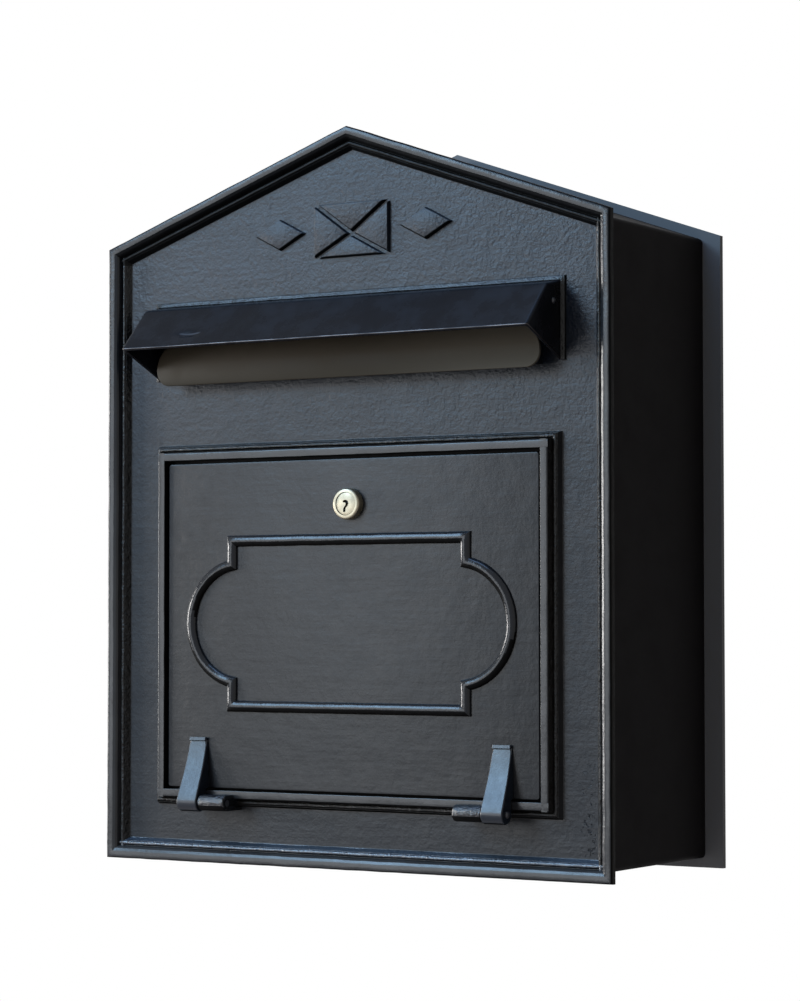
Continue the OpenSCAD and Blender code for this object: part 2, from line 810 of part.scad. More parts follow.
// Cam, lying level to the left, where the door is free to open
module lock_cam() {
    color(zinc) face() translate([lock_x, lock_y, 0]) slab(cam_front, cam_back) difference() {
        union() {
            circle(r = cam_w / 2);
            translate([cam_w / 2 - cam_reach, -cam_w / 2]) square([cam_reach - cam_w / 2, cam_w]);
            translate([cam_w / 2 - cam_reach, 0]) circle(r = cam_w / 2);
        }
        square(cam_square + 2 * fit, center = true);
    }
}

module cam_screw() {
    color(zinc) face() translate([lock_x, lock_y, -cam_back]) {
        mirror([0, 0, 1]) cylinder(r = cam_head_r, h = cam_head_h);
        cylinder(r = cam_screw_d / 2, h = cam_screw_l);
    }
}

front_casting();
box_body();
back_panel();
hood();
hood_screws();
hood_nuts();
bracket_lower_left();
bracket_lower_right();
bracket_upper_left();
bracket_upper_right();
bracket_screws();
hinge_pin_left();
hinge_pin_right();
flap_rod();
letter_flap();
door_panel();
hinge_arm_left();
hinge_arm_right();
arm_screws();
lock_housing();
lock_nut();
lock_plug();
lock_cam();
cam_screw();
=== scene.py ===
# %% [markdown]
# # A wall mounted post box
#
# This lesson dresses a packed post box. The box has a gabled front of cast iron with a sunk
# field, a hooded letter slot with a hanging flap, a drop-down collection door with a lock, and
# a body of folded sheet behind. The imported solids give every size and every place. The lesson
# gives them the look of painted sand castings and painted sheet.

import math

import bmesh
import bpy
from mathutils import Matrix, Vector, noise
from mathutils.geometry import tessellate_polygon


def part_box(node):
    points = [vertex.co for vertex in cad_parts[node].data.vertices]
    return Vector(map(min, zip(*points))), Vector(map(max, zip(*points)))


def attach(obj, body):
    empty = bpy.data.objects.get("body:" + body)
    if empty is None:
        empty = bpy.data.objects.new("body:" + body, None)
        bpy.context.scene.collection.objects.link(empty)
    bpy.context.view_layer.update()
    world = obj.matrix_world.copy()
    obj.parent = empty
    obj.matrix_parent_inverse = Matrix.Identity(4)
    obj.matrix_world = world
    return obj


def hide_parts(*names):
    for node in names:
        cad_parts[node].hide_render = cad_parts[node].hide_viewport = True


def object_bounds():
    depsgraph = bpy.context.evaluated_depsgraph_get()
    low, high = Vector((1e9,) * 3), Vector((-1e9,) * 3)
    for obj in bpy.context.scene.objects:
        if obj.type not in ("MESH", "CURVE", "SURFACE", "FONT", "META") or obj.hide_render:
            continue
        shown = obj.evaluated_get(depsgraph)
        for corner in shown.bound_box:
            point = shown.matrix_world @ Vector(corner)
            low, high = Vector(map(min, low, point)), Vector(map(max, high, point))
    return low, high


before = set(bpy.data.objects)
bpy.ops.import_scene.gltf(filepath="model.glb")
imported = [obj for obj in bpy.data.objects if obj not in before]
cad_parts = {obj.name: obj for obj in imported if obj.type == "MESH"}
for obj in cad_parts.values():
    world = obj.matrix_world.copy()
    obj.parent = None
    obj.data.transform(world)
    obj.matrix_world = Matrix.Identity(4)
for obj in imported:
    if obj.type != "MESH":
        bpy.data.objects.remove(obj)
cad_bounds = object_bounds()
print("nodes:", len(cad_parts), "box:", [tuple(round(v, 4) for v in c) for c in cad_bounds])

# %% [markdown]
# ## Face coordinates
#
# A front is easiest to draw as its maker draws it: x to the right, y up from the foot of the
# box, and w standing out from the face of the rim, all in millimetres. One function turns such
# a point into a place in the model. The wall is at Y = 0, so the face of the rim lies one box
# depth in front of it.

# %% Where the face is
MM = 0.001
RIM_T = 4.5
casting_low, casting_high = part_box("front_casting")
body_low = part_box("box_body")[0]
FACE_Y = body_low.y - RIM_T * MM
FOOT = casting_low.z
HALF_W = casting_high.x / MM


def at(x, y, w):
    return Vector((x * MM, FACE_Y - w * MM, FOOT + y * MM))


print("half width", round(HALF_W, 2), "face at", round(FACE_Y, 4))

# %% [markdown]
# ## The sizes of the front
#
# These repeat the driving sizes of the solids, because this file can't read their source. The
# order is the one in which the eye meets them: outline, rim, door frame, door, hood, slot, flap,
# hinge and lock. STRIDE is the length of the steps in which a swept moulding can waver.

# %% Sizes
EAVE = 374.0
GABLE_RISE = 61.5
FIELD = -8.0
CASTING_BACK = -12.0
TRAY_INSET = 7.3
RIM_FLAT, RIM_MOULDING = 6.4, 12.4
OPEN_X, OPEN_FOOT, OPEN_TOP = 130.8, 43.5, 241.7
FRAME_OUT, FRAME_W = 0.8, 10.0
LEDGE_W, LEDGE = 6.0, -5.7
DOOR_X, DOOR_FOOT, DOOR_TOP = 129.0, 44.5, 239.8
DOOR_FACE, DOOR_BACK = -1.4, -5.4
HOOD_X, HOOD_TOP, CHEEK_FOOT = 140.5, 336.5, 291.2
BROW, LIP = (8.6, 333.2), (31.8, 308.3)
HOOD_T, RIB_W = 2.0, 2.6
SLOT_X, SLOT_FOOT, SLOT_TOP, COLLAR_T, COLLAR_OUT = 125.0, 292.5, 319.5, 3.0, 3.1
FLAP_X, FLAP_FOOT, FLAP_FRONT, FLAP_T = 133.4, 287.0, 5.4, 2.0
ROD_Y, ROD_OUT, ROD_R, KNUCKLE_R = 323.8, 2.4, 1.75, 3.0
HINGE_Y, HINGE_OUT, PIN_R = 36.5, 7.0, 2.0
ARM_X, ARM_W, ARM_TOP_W, ARM_TOP, ARM_TOP_T, EYE_R = 105.5, 14.2, 12.2, 75.0, 1.8, 5.6
LUG_R, LUG_L, CLEAR = 4.8, 19.0, 0.3
LOCK_X, LOCK_Y = 2.3, 213.0
STRIDE = 5.0
print("front", round(2 * HALF_W), "by", EAVE + GABLE_RISE, "mm, door", 2 * DOOR_X, "mm wide")

# %% [markdown]
# ## Outlines in a plane
#
# A moulding keeps its width round a corner when each of its lines is moved inwards by the same
# amount, which is what a mitre does. `mitres` gives, for each corner of an outline that runs
# anticlockwise, the step that moves the corner inwards by one millimetre. `soften` rounds the
# corners of a section, as thick paint and a sand mould do.

# %% Outline helpers


def mitres(outline, closed=True):
    steps = []
    count = len(outline)
    for i, corner in enumerate(outline):
        before = outline[i - 1] if closed or i else None
        after = outline[(i + 1) % count] if closed or i < count - 1 else None
        a = (corner - before).normalized() if before is not None else None
        b = (after - corner).normalized() if after is not None else None
        a = a or b
        b = b or a
        left_a, left_b = Vector((-a.y, a.x)), Vector((-b.y, b.x))
        steps.append((left_a + left_b) / (1 + left_a.dot(left_b)))
    return steps


def soften(points, radius, steps=4, closed=False):
    line = [Vector(p) for p in points]
    made = []
    for i, corner in enumerate(line):
        inner = closed or 0 < i < len(line) - 1
        a = (line[i - 1] - corner) if inner else None
        b = (line[(i + 1) % len(line)] - corner) if inner else None
        if not inner or radius == 0 or abs(a.angle(b) - math.pi) < 0.05:
            made.append(corner)
            continue
        half = a.angle(b) / 2
        reach = min(radius / math.tan(half), 0.48 * a.length, 0.48 * b.length)
        start, end = corner + a.normalized() * reach, corner + b.normalized() * reach
        for k in range(steps + 1):
            t = k / steps
            made.append(start * (1 - t) ** 2 + corner * 2 * t * (1 - t) + end * t ** 2)
    return made


def ring(x, y, radius, count=48):
    turns = (2 * math.pi * i / count for i in range(count))
    return [Vector((x + radius * math.cos(t), y + radius * math.sin(t))) for t in turns]


def oblong(x, foot, top):
    return [Vector(p) for p in ((-x, foot), (x, foot), (x, top), (-x, top))]


def subdivided(outline, pitch, closed=True):
    made = []
    for i, p in enumerate(outline):
        if not closed and i == len(outline) - 1:
            made.append(p)
            break
        q = outline[(i + 1) % len(outline)]
        count = max(1, round((q - p).length / pitch))
        made += [p.lerp(q, k / count) for k in range(count)]
    return made


print("outline helpers ready")

# %% [markdown]
# ## Two ways to make a solid
#
# A moulding is a section carried round an outline: `sweep`. A plate, an arm or a panel is an
# outline carried through a list of steps, each moved inwards a little and placed at its own
# depth: `plate`. Both close their ends, so each piece is a solid like the real one. A sand
# casting is never quite straight, so `wander` moves the points of a swept moulding by about a
# tenth of a millimetre, and `inside` keeps them in the box that the solids fill. Blender's noise
# starts from the clock unless it is given a seed, so one is set here, and every run then makes
# the same casting.

# %% Solid helpers
WAVER_SEED = 7
noise.seed_set(WAVER_SEED)


def wander(point, size, reach=11.0):
    p = point / (MM * reach)
    return noise.noise_vector(p) * size * MM


def inside(point):
    low, high = cad_bounds
    return Vector([min(max(c, a), b) for c, a, b in zip(point, low, high)])


def sweep(bm, outline, section, closed=True, wobble=0.0, still=None, finish_at=None):
    rows = []
    for corner, step in zip(outline, mitres(outline, closed)):
        row = []
        for u, w in section:
            point = at(corner.x + u * step.x, corner.y + u * step.y, w)
            if wobble and (still is None or u < still) and w > CASTING_BACK:
                point += wander(point, wobble)
            row.append(bm.verts.new(inside(point)))
        rows.append(row)
    last = len(rows) if closed else len(rows) - 1
    for i in range(last):
        a, b = rows[i], rows[(i + 1) % len(rows)]
        for j in range(len(section)):
            k = (j + 1) % len(section)
            face = bm.faces.new((a[j], a[k], b[k], b[j]))
            face.material_index = finish_at(*section[j]) if finish_at else 0
    if not closed:
        bm.faces.new(rows[0])
        bm.faces.new(rows[-1])


def capped(bm, loops):
    corners = [v for loop in loops for v in loop]
    for triangle in tessellate_polygon([[v.co for v in loop] for loop in loops]):
        bm.faces.new([corners[i] for i in triangle])


def plate(bm, outline, steps, holes=(), place=at):
    moves = mitres(outline)
    rows = []
    for inset, depth in steps:
        points = [p + inset * m for p, m in zip(outline, moves)]
        rows.append([bm.verts.new(place(p.x, p.y, depth)) for p in points])
    for a, b in zip(rows, rows[1:]):
        for j in range(len(a)):
            k = (j + 1) % len(a)
            bm.faces.new((a[j], a[k], b[k], b[j]))
    first, last = [rows[0]], [rows[-1]]
    for hole in holes:
        ends = []
        for depth in (steps[0][1], steps[-1][1]):
            ends.append([bm.verts.new(place(p.x, p.y, depth)) for p in hole])
        for j in range(len(hole)):
            k = (j + 1) % len(hole)
            bm.faces.new((ends[0][j], ends[0][k], ends[1][k], ends[1][j]))
        first.append(ends[0])
        last.append(ends[1])
    capped(bm, first)
    capped(bm, last)


def sideways(out, y, x):
    return at(x, y, out)


print("solid helpers ready")

# %% [markdown]
# ## Finishes as sums
#
# A finish is easier to read as arithmetic than as a web of nodes. `Value` wraps one socket and
# gives it the signs of ordinary maths, with their mirrored forms, so that `1 - pits` works.
# `Finish` holds one material, and its method `node` makes any other node: settings first, then
# the sockets. The Mix node has sockets for several kinds of value under the same names, so those
# for colours are reached by number.

# %% The small language for finishes
COLOR_A, COLOR_B, COLOR_RESULT = 6, 7, 2


class Value:
    def __init__(self, finish, socket):
        self.finish = finish
        self.socket = socket

    def sum(self, operation, *others):
        inputs = dict(enumerate(others))
        return self.finish.node("Math", {"operation": operation}, inputs)

    def __add__(self, other):
        return self.sum("ADD", self, other)

    def __radd__(self, other):
        return self.sum("ADD", other, self)

    def __sub__(self, other):
        return self.sum("SUBTRACT", self, other)

    def __rsub__(self, other):
        return self.sum("SUBTRACT", other, self)

    def __mul__(self, other):
        return self.sum("MULTIPLY", self, other)

    def __rmul__(self, other):
        return self.sum("MULTIPLY", other, self)

    def __truediv__(self, other):
        return self.sum("DIVIDE", self, other)

    def __rtruediv__(self, other):
        return self.sum("DIVIDE", other, self)

    def step(self, low, high):
        limits = {"From Min": low, "From Max": high, "Value": self}
        return self.finish.node("MapRange", {"interpolation_type": "SMOOTHSTEP"}, limits)


class Finish:
    def __init__(self, name, **fixed):
        self.material = bpy.data.materials.new(name)
        self.material.use_nodes = True
        self.tree = self.material.node_tree
        self.shader = self.tree.nodes["Principled BSDF"]
        for socket, value in fixed.items():
            self.shader.inputs[socket.replace("_", " ")].default_value = value
        self.place = self.node("TexCoord", output="Object")

    def node(self, kind, settings=None, inputs=None, output=0):
        made = self.tree.nodes.new("ShaderNode" + kind)
        for name, value in (settings or {}).items():
            setattr(made, name, value)
        for key, value in (inputs or {}).items():
            if isinstance(value, Value):
                self.tree.links.new(value.socket, made.inputs[key])
            else:
                made.inputs[key].default_value = value
        return Value(self, made.outputs[output])

    def cloud(self, size_mm, detail=2.0, rough=0.5, stretch=None):
        where = self.place
        if stretch:
            where = self.node("Mapping", inputs={"Vector": where, "Scale": stretch})
        inputs = {"Vector": where, "Scale": 1 / (size_mm * MM), "Detail": detail,
                  "Roughness": rough}
        return self.node("TexNoise", inputs=inputs) - 0.5

    def along(self, axis):
        return self.node("SeparateXYZ", inputs={0: self.place}, output=axis)

    def blend(self, factor, first, second):
        settings = {"data_type": "RGBA"}
        made = self.node("Mix", settings, {"Factor": factor}, output="Result")
        node = made.socket.node
        for socket, value in ((node.inputs[COLOR_A], first), (node.inputs[COLOR_B], second)):
            if isinstance(value, Value):
                self.tree.links.new(value.socket, socket)
            else:
                socket.default_value = (*value, 1)
        return Value(self, node.outputs[COLOR_RESULT])

    def paint(self, socket, value):
        self.tree.links.new(value.socket, self.shader.inputs[socket])

    def relief(self, height_mm):
        inputs = {"Height": height_mm, "Distance": MM, "Strength": 1.0}
        self.paint("Normal", self.node("Bump", inputs=inputs))


print("finish helpers ready")

# %% [markdown]
# ## Painted sand casting
#
# The front and the door are cast in sand and painted a satin blue-black. Up close the skin is
# a fine orange peel with soft lumps, the bigger faces sag a little, and a few pits stay open
# near the lower corners, where the sand broke away. All of that is relief, in millimetres,
# under one nearly even colour; the pits are also painted darker, a painted shade inside them.
# An image would repeat, so the relief comes from noise at five sizes: skin, peel, lumps,
# streaks and sag. As in the photo, the colour is painted cooler in the gable and warmer below,
# a painted light, and the paint is duller at the lower left. The rim's groove has finishes of
# its own for two stretches: along the foot it is glossier and its bluer, lighter colour is
# painted sky light, and in the roof it is darker, which is painted shade. Elsewhere the
# grooves are darker and browner, partly dirt and partly painted shade, and the lower flats of
# the rim and the frame are painted lighter, a painted light.

# %% The cast finish


def cast_finish(name, color, grain=1.0, smooth=0.0, rough=0.4, shine=0.2, low_grain=1.0,
                low_rough=0.0, low_gain=1.0, left_rough=0.0):
    finish = Finish(name, Specular_IOR_Level=shine)
    across = finish.along("X")
    where = finish.along("Z")
    upper = where.step(FOOT + 0.16, FOOT + 0.36)
    calm = 1 - (1 - upper) * (1 - low_grain)
    skin = finish.cloud(1.3, 3.0, 0.6) * (0.26 * grain) * calm
    peel = finish.cloud(2.8, 2.0, 0.5) * (0.40 * grain) * calm
    lumps = finish.cloud(11.0, 2.0, 0.5) * (0.34 * (1 - smooth))
    streaks = finish.cloud(16.0, 3.0, 0.6, stretch=(0.3, 1.0, 3.0)) * (0.22 * (1 - smooth))
    sag = finish.cloud(60.0, 1.0, 0.4) * 0.9
    low = where.step(FOOT + 0.013, FOOT + 0.015) * (1 - where.step(FOOT + 0.020, FOOT + 0.075))
    edge = across.step(0.150, 0.157) - across.step(0.1605, 0.1615)
    rare = (finish.cloud(7.0) + 0.5).step(0.45, 0.55)
    chips = (finish.cloud(1.7, 1.0, 0.5) + 0.5).step(0.59, 0.65)
    pits = chips * rare * low * edge
    finish.relief(skin + peel + lumps + streaks + sag - pits * 0.8)
    mottle = (finish.cloud(24.0, 4.0, 0.6) + 0.5).step(0.3, 0.7)
    # The two tints are painted light: the upper part is bluer, as lit by the sky, the lower part
    # warmer and, where the low gain is above one, lighter.
    warm = [c * k * low_gain for c, k in zip(color, (1.12, 1.02, 0.92))]
    cool = [c * k for c, k in zip(color, (0.88, 1.00, 1.16))]
    shade = finish.blend(upper, warm, cool)
    dark = [c * 0.72 for c in color]
    shade = finish.blend(mottle * 0.35, shade, dark)
    # The pits are painted darker, a painted shade inside them.
    shade = finish.blend(pits, shade, [c * 0.25 for c in color])
    finish.paint("Base Color", shade)
    left = (1 - across.step(-0.148, -0.130)) * (1 - where.step(FOOT + 0.27, FOOT + 0.35))
    worn = mottle * 0.04 + finish.cloud(5.0, 2.0) * 0.12
    worn = worn + (1 - upper) * low_rough + left * left_rough
    finish.paint("Roughness", rough + worn + pits * 0.3)
    return finish.material


cast_paint = cast_finish("cast paint", (0.0045, 0.0060, 0.0084), rough=0.33, shine=0.19,
                         low_grain=0.5, low_rough=0.05, left_rough=0.13)
# The rough paint is darker and browner than the field: partly dirt and thick paint in the grooves,
# partly painted shade where little light gets in.
rough_dirt_and_shade = cast_finish("rough cast paint with dirt and painted shade", (0.0035, 0.0033, 0.0030), grain=1.1, rough=0.2,
                          shine=0.2, low_grain=2.0, low_rough=0.2)
# The rim paint is made three and a half times lighter in its lower part, a painted light on the
# lower flats of the rim and the frame.
rim_paint = cast_finish("rim paint", (0.0050, 0.0053, 0.0058), grain=0.2, smooth=0.6, rough=0.22,
                        low_gain=3.5)
# The roof groove's darker, browner colour is painted shade, where the rim above keeps the light
# out.
roof_groove_shade = cast_finish("roof groove painted shade", (0.0040, 0.0034, 0.0028), grain=0.6, rough=0.32,
                         shine=0.07)
# The foot paint's bluer, lighter colour is painted sky light on the groove along the foot.
foot_sky_light = cast_finish("foot groove painted sky light", (0.010, 0.017, 0.028), grain=1.3, rough=0.22, shine=0.55)
# The side paint is painted shade: nearly black and with little sheen, for faces that look down, for
# the walls of the door's gap and for the rim's outer side.
painted_shade = cast_finish("painted shade", (0.002, 0.002, 0.002), grain=0.4, rough=0.5, shine=0.03)
door_paint = cast_finish("door paint", (0.0050, 0.0060, 0.0075), grain=0.22, smooth=0.3, rough=0.31,
                         shine=0.19)
bead_paint = cast_finish("bead paint", (0.004, 0.005, 0.007), grain=0.25, smooth=0.5, rough=0.18)
arm_paint = cast_finish("arm paint", (0.005, 0.008, 0.013), grain=0.16, smooth=0.7, rough=0.3,
                        shine=0.27)
lug_paint = cast_finish("lug paint", (0.003, 0.004, 0.006), grain=2.2, rough=0.16, shine=0.4)
cast_finishes = (cast_paint, rough_dirt_and_shade, rim_paint, painted_shade, door_paint, bead_paint, arm_paint,
                 lug_paint, foot_sky_light, roof_groove_shade)
print("cast finishes:", ", ".join(m.name for m in cast_finishes))

# %% [markdown]
# ## Painted sheet
#
# The body, the hood and the flap are folded sheet under the same paint. Sheet has no sand
# skin, so it is smoother and shinier, with long shallow waves left by rolling and folding and
# a faint bloom of dust. The body is nearly black, the hood blue-black and the flap a grey that
# leans to brown. The body's flange at the back, near the wall, is painted lighter, a painted
# light. The hood has a small crescent of painted highlight at its dent, drawn as a band along
# a parabola, and the flap is painted lighter towards its right end, a painted light, both as
# in the photo.

# %% The sheet finish


def sheet_finish(name, color, rough, waves=0.35, bloom=0.3, specular=0.4, rear=None, dent_highlight=None,
                 right_painted_light=None):
    finish = Finish(name, Specular_IOR_Level=specular)
    roll = finish.cloud(45.0, 1.0, 0.4, stretch=(1.0, 1.0, 0.35)) * waves
    peel = finish.cloud(1.8, 2.0, 0.5) * 0.012
    finish.relief(roll + peel)
    dust = (finish.cloud(22.0, 4.0, 0.65) + 0.5).step(0.35, 0.8)
    pale = [c * 1.5 + 0.002 for c in color]
    shade = finish.blend(dust * bloom, color, pale)
    # Painted light: the body's flange at the back, near the wall, is made lighter.
    if rear:
        depth = finish.along("Y")
        shade = finish.blend(depth.step(-0.0042, -0.0034), shade, rear)
    # Painted light: the flap is made lighter towards its right end.
    if right_painted_light:
        across = finish.along("X")
        shade = finish.blend(across.step(-0.01, 0.15), shade, right_painted_light)
    # Painted highlight: a light crescent at the hood's dent.
    if dent_highlight:
        x, y, half, droop = dent_highlight
        along = (finish.along("X") - x * MM) / (half * MM)
        rise = finish.along("Z") - (FOOT + y * MM)
        offset = rise / MM - along * along * droop
        mark = (1 - (offset * offset).step(0.05, 0.45)) * (1 - (along * along).step(0.5, 1.0))
        shade = finish.blend(mark * 0.45, shade, (0.055, 0.058, 0.066))
    finish.paint("Base Color", shade)
    finish.paint("Roughness", rough + dust * 0.12 + finish.cloud(3.0, 2.0) * 0.05)
    return finish.material


body_paint = sheet_finish("body paint", (0.0055, 0.0050, 0.0052), 0.55, specular=0.012,
                          rear=(0.10, 0.10, 0.10))
hood_paint = sheet_finish("hood paint", (0.0042, 0.0046, 0.0060), 0.24, specular=0.04, waves=1.8,
                          bloom=1.3, dent_highlight=(-95.0, 315.4, 8.5, 0.9))
flap_paint = sheet_finish("flap paint", (0.021, 0.0168, 0.0112), 0.5, waves=0.2, specular=0.055,
                          right_painted_light=(0.050, 0.044, 0.034))
rod_paint = sheet_finish("rod paint", (0.02, 0.021, 0.024), 0.4, waves=0.0)
print("sheet finishes:", body_paint.name, hood_paint.name, flap_paint.name)

# %% [markdown]
# ## Plated metal
#
# The lock is bright nickel, a little yellow, with the fine rings of its lathe. The screws,
# nuts, brackets and cam are zinc, which is duller and grows a patchy grey bloom.

# %% The plated finishes


def plated_finish(name, color, rough, patch, patch_mm, marks):
    finish = Finish(name, Metallic=1.0)
    bloom = (finish.cloud(patch_mm, 3.0, 0.6) + 0.5).step(0.35, 0.75)
    finish.paint("Base Color", finish.blend(bloom, color, [c * patch for c in color]))
    finish.paint("Roughness", rough + bloom * 0.14 + finish.cloud(0.7, 2.0) * 0.08)
    finish.relief(finish.cloud(0.5, 2.0) * marks)
    return finish.material


nickel = plated_finish("bright nickel", (0.25, 0.22, 0.16), 0.42, 0.86, 6.0, 0.006)
zinc = plated_finish("dull zinc", (0.30, 0.31, 0.32), 0.42, 0.72, 3.0, 0.010)
worn_edge = plated_finish("worn edge", (0.060, 0.054, 0.054), 0.4, 0.4, 14.0, 0.02)
# The keyway's floor wears a painted shadow.
keyway_shadow_paint = sheet_finish("keyway shadow", (0.004, 0.004, 0.004), 0.6, waves=0.0, specular=0.1)
print("plated finishes:", nickel.name, zinc.name)

# %% [markdown]
# ## From points to a piece
#
# Every new piece ends the same way: its faces are turned outwards, its round parts are shaded
# smooth while its edges stay crisp, and it is told which body it rides on, which solid it
# stands for and which finish it wears. In the photo the faces that look down are nearly black,
# so a piece can give them a finish of painted shade: a nearly black colour with little sheen.

# %% Finishing a piece


def piece(bm, name, body, materials, stands_for=(), crisp=38, shade_with=None, shade_below=-0.3):
    bmesh.ops.recalc_face_normals(bm, faces=bm.faces)
    mesh = bpy.data.meshes.new(name)
    bm.to_mesh(mesh)
    bm.free()
    for polygon in mesh.polygons:
        polygon.use_smooth = len(polygon.vertices) == 4
        # Faces that look down wear the finish of painted shade.
        if shade_with and polygon.normal.z < shade_below:
            polygon.material_index = materials.index(shade_with)
    mesh.set_sharp_from_angle(angle=math.radians(crisp))
    for material in materials:
        mesh.materials.append(material)
    made = bpy.data.objects.new(name, mesh)
    bpy.context.scene.collection.objects.link(made)
    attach(made, body)
    if stands_for:
        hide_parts(*stands_for)
    print(name, len(mesh.polygons), "faces")
    return made


# %% [markdown]
# ## The cast front
#
# On the real box this is one casting: a gabled plate with a rim that laps the body, a sunk
# field, a stepped frame round the door opening, a wall round the letter slot, a rib for the
# hood and two lugs for the hinge. A boolean of blocks would leave hard edges, so each moulding
# is a section with softened corners, swept round its outline and mitred at the corners. The
# seven names from CAST onwards number the finishes that the front wears. Among them are painted
# shade for faces that look down, gaps, the rim's outer side and the roof groove, and painted
# sky light for the groove along the foot.

# %% The rim
FRONT_FINISHES = (cast_paint, rough_dirt_and_shade, rim_paint, painted_shade, lug_paint, foot_sky_light, roof_groove_shade)
CAST, ROUGH_DIRT_AND_SHADE, RIM, PAINTED_SHADE, LUG, FOOT_SKY_LIGHT, ROOF_SHADE = range(len(FRONT_FINISHES))
front = bmesh.new()
gable = [Vector(p) for p in (
    (-HALF_W, 0), (HALF_W, 0), (HALF_W, EAVE), (0, EAVE + GABLE_RISE), (-HALF_W, EAVE))]
BEAD_R, BEAD_SINK = 1.4, 0.3
RIM_SHELF = 0.58 * FIELD
FIELD_INSET = RIM_MOULDING + 1.0


def beaded(start, shelf, middle, finish_points):
    """A line that runs along a shelf and climbs over a half-round bead in the middle of it."""
    turns = [math.pi * (1 - i / 8) for i in range(1, 8)]
    bead = [(middle + BEAD_R * math.cos(t), shelf - BEAD_SINK + BEAD_R * math.sin(t))
            for t in turns]
    foot = math.sqrt(BEAD_R ** 2 - BEAD_SINK ** 2)
    return start + [(middle - foot, shelf)] + bead + [(middle + foot, shelf)] + finish_points


rim_start = soften([(0.0, -3.0), (0.0, 0.0), (3.0, 0.0)], 1.5)
rim_fall = soften([(3.0, 0.0), (4.4, -0.25), (6.0, -0.85), (6.9, -2.0),
                   (RIM_FLAT + 1.2, RIM_SHELF), (7.7, RIM_SHELF)], 1.2)
rim_foot = soften([(10.5, RIM_SHELF), (10.6, RIM_SHELF), (RIM_MOULDING, FIELD),
                   (FIELD_INSET, FIELD)], 0.9)
rim_front = beaded([tuple(p) for p in rim_start[:-1] + rim_fall[:-1]], RIM_SHELF, 9.1,
                   [tuple(p) for p in rim_foot[1:]])
rim_back = [(FIELD_INSET, CASTING_BACK), (TRAY_INSET, CASTING_BACK), (TRAY_INSET, -RIM_T),
            (0.0, -RIM_T)]


def rim_finish(u, w):
    if u < RIM_FLAT + 0.9:
        # The rim's outer side wears painted shade.
        return PAINTED_SHADE if u < 0.5 else RIM
    # The groove wears the rough paint, partly dirt and partly painted shade.
    return ROUGH_DIRT_AND_SHADE if u < RIM_MOULDING else CAST


sweep(front, subdivided(gable, STRIDE), rim_front + rim_back, wobble=0.2, still=RIM_MOULDING,
      finish_at=rim_finish)
# Along the foot the groove takes a glossier finish whose bluer, lighter colour is painted sky
# light.
for face in front.faces:
    height = (face.calc_center_median().z - FOOT) / MM
    if face.material_index == ROUGH_DIRT_AND_SHADE and height < RIM_MOULDING:
        face.material_index = FOOT_SKY_LIGHT
    # In the roof the groove takes a darker finish, which is painted shade.
    if face.material_index == ROUGH_DIRT_AND_SHADE and height > EAVE - RIM_MOULDING:
        face.material_index = ROOF_SHADE
print("rim:", len(front.faces), "faces")

# %% [markdown]
# The field is a flat plate inside the rim, with one hole for the door's frame and one for the
# letter slot. It meets the rim edge to edge.

# %% The field
FRAME_X = OPEN_X + FRAME_W
frame_outline = oblong(FRAME_X, OPEN_FOOT - FRAME_W, OPEN_TOP + FRAME_W)
slot_hole = oblong(SLOT_X, SLOT_FOOT, SLOT_TOP + 1)
field_outline = [p + FIELD_INSET * m for p, m in zip(gable, mitres(gable))]
plate(front, field_outline, [(0, CASTING_BACK), (0, FIELD)], holes=(frame_outline, slot_hole))
print("with the field:", len(front.faces), "faces")

# %% [markdown]
# The door's frame is the richest moulding on the box: a slope, a shelf with a bead, a steep
# rise to a flat band, and behind the band a ledge that the door closes against.

# %% The door's frame
FRAME_SHELF = 0.56 * FIELD
frame_foot = soften([(0.0, FIELD), (0.3, FIELD), (1.5, FRAME_SHELF), (1.65, FRAME_SHELF)], 0.3)
band = soften([(4.45, FRAME_SHELF), (4.5, FRAME_SHELF), (5.3, FRAME_OUT), (7.5, FRAME_OUT)], 0.8)
inner = soften([(7.5, FRAME_OUT), (FRAME_W, FRAME_OUT), (FRAME_W, -2.5)], 0.45)
frame_front = beaded([tuple(p) for p in frame_foot[:-1]], FRAME_SHELF, 3.05,
                     [tuple(p) for p in band[1:-1] + inner])
frame_back = [(FRAME_W, LEDGE), (FRAME_W + LEDGE_W, LEDGE), (FRAME_W + LEDGE_W, CASTING_BACK),
              (0.0, CASTING_BACK)]


def frame_finish(u, w):
    # The wall of the opening and the ledge behind the band wear painted shade.
    if u >= FRAME_W - 0.05:
        return PAINTED_SHADE
    # The shelf with its bead wears the rough paint, partly dirt and partly painted shade.
    return ROUGH_DIRT_AND_SHADE if 1.0 < u < 4.6 else RIM


sweep(front, subdivided(frame_outline, STRIDE), frame_front + frame_back, wobble=0.14,
      finish_at=frame_finish)
print("with the frame:", len(front.faces), "faces")

# %% [markdown]
# The letter slot has a low wall at its foot and sides, open at the top where the flap's
# knuckle hangs. Round the hood's foot runs a small bevelled rib.

